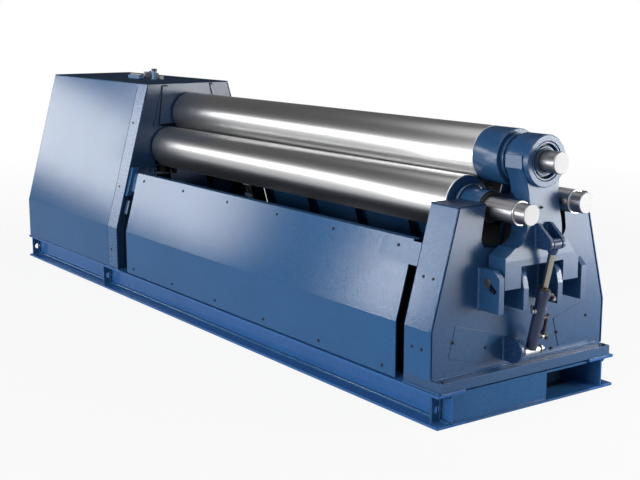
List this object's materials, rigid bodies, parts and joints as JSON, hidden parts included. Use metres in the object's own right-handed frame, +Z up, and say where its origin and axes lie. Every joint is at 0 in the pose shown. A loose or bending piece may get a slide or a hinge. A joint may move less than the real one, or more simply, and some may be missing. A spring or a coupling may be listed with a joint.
{
  "type": "plate rolling machine",
  "caption": "Plate rolling machine with a top roll between two raised side rolls, a tapered drive housing and a hinged drop end tilted by a cylinder",
  "frame": {"origin": "on the floor under the middle of the base frame", "axes": "+Z up, +X along the rolls from the drive housing to the drop end, -Y the operator's side"},
  "size_m": [5.204, 1.22, 1.535],
  "materials": {
    "paint_blue": "satin machine enamel with a fine orange peel",
    "paint_dark_blue": "satin enamel on fabricated brackets",
    "paint_navy": "dark satin enamel on the covers",
    "roll_steel": "ground and polished forged steel",
    "machined_steel": "turned bare steel"
  },
  "bodies": {
    "machine_frame": {"base_front_rail": "paint_blue", "base_rear_rail": "paint_blue", "base_drive_beam": "paint_blue", "base_drop_beam": "paint_blue", "base_cross_members": "paint_blue", "base_lifting_plates": "paint_blue", "drop_end_foot": "paint_blue", "drive_frame": "paint_blue", "drive_front_cover": "paint_blue", "drive_rear_cover": "paint_blue", "drive_top_cover": "paint_navy", "drive_end_wall": "paint_blue", "drive_front_strip": "paint_blue", "drive_rear_strip": "paint_blue", "drive_top_fittings": "machined_steel", "front_panel": "paint_blue", "rear_panel": "paint_blue", "panel_brackets": "paint_blue", "front_panel_posts": "paint_navy", "rear_panel_posts": "paint_navy", "drop_frame": "paint_blue", "drop_end_plate": "paint_blue", "drop_front_strip": "paint_blue", "drop_rear_strip": "paint_blue", "drop_top_caps": "paint_navy", "drop_hatch_covers": "paint_blue", "hinge_lugs": "paint_blue", "hinge_pins": "machined_steel", "cylinder_foot": "paint_dark_blue"},
    "upper_roll": {"top_roll": "roll_steel", "top_roll_collar": "paint_blue", "top_roll_end_bearing": "machined_steel"},
    "front_roll_carrier": {"front_roll_blocks": "paint_blue"},
    "front_roll": {"front_side_roll": "roll_steel"},
    "rear_roll_carrier": {"rear_roll_blocks": "paint_blue"},
    "rear_roll": {"rear_side_roll": "roll_steel"},
    "tilting_arm": {"drop_arm": "paint_blue", "arm_boss": "paint_blue", "arm_clevis": "paint_dark_blue", "arm_clevis_pin": "machined_steel"},
    "arm_cylinder": {"cylinder_barrel": "paint_dark_blue"},
    "arm_cylinder_rod": {"cylinder_rod": "machined_steel"}
  },
  "joints": [
    {"name": "top_roll_spin", "type": "hinge", "parent": "machine_frame", "child": "upper_roll", "pos_m": [0, 0, 1.244], "axis": [1, 0, 0], "continuous": true},
    {"name": "front_roll_lift", "type": "slide", "parent": "machine_frame", "child": "front_roll_carrier", "axis": [0, -0.1547, -0.988], "range_m": [0, 0.09]},
    {"name": "front_roll_spin", "type": "hinge", "parent": "front_roll_carrier", "child": "front_roll", "pos_m": [0, -0.17309, 1.01008], "axis": [1, 0, 0], "continuous": true},
    {"name": "rear_roll_lift", "type": "slide", "parent": "machine_frame", "child": "rear_roll_carrier", "axis": [0, 0.1547, -0.988], "range_m": [0, 0.09]},
    {"name": "rear_roll_spin", "type": "hinge", "parent": "rear_roll_carrier", "child": "rear_roll", "pos_m": [0, 0.19994, 1.03257], "axis": [1, 0, 0], "continuous": true},
    {"name": "drop_end_tilt", "type": "hinge", "parent": "machine_frame", "child": "tilting_arm", "pos_m": [2.513, 0, 0.673], "axis": [0, 1, 0], "range_deg": [0, 65]},
    {"name": "cylinder_swing", "type": "hinge", "parent": "machine_frame", "child": "arm_cylinder", "pos_m": [2.518, 0, 0.291], "axis": [0, 1, 0], "range_deg": [0, 19.7]},
    {"name": "cylinder_stroke", "type": "slide", "parent": "arm_cylinder", "child": "arm_cylinder_rod", "axis": [0.2287, 0, 0.9735], "range_m": [-0.1797, 0]}
  ],
  "couplings": [
    {"joint": "cylinder_swing", "follows": "drop_end_tilt", "ratio": 0.30285},
    {"joint": "cylinder_stroke", "follows": "drop_end_tilt", "m_per_rad": -0.15831}
  ]
}
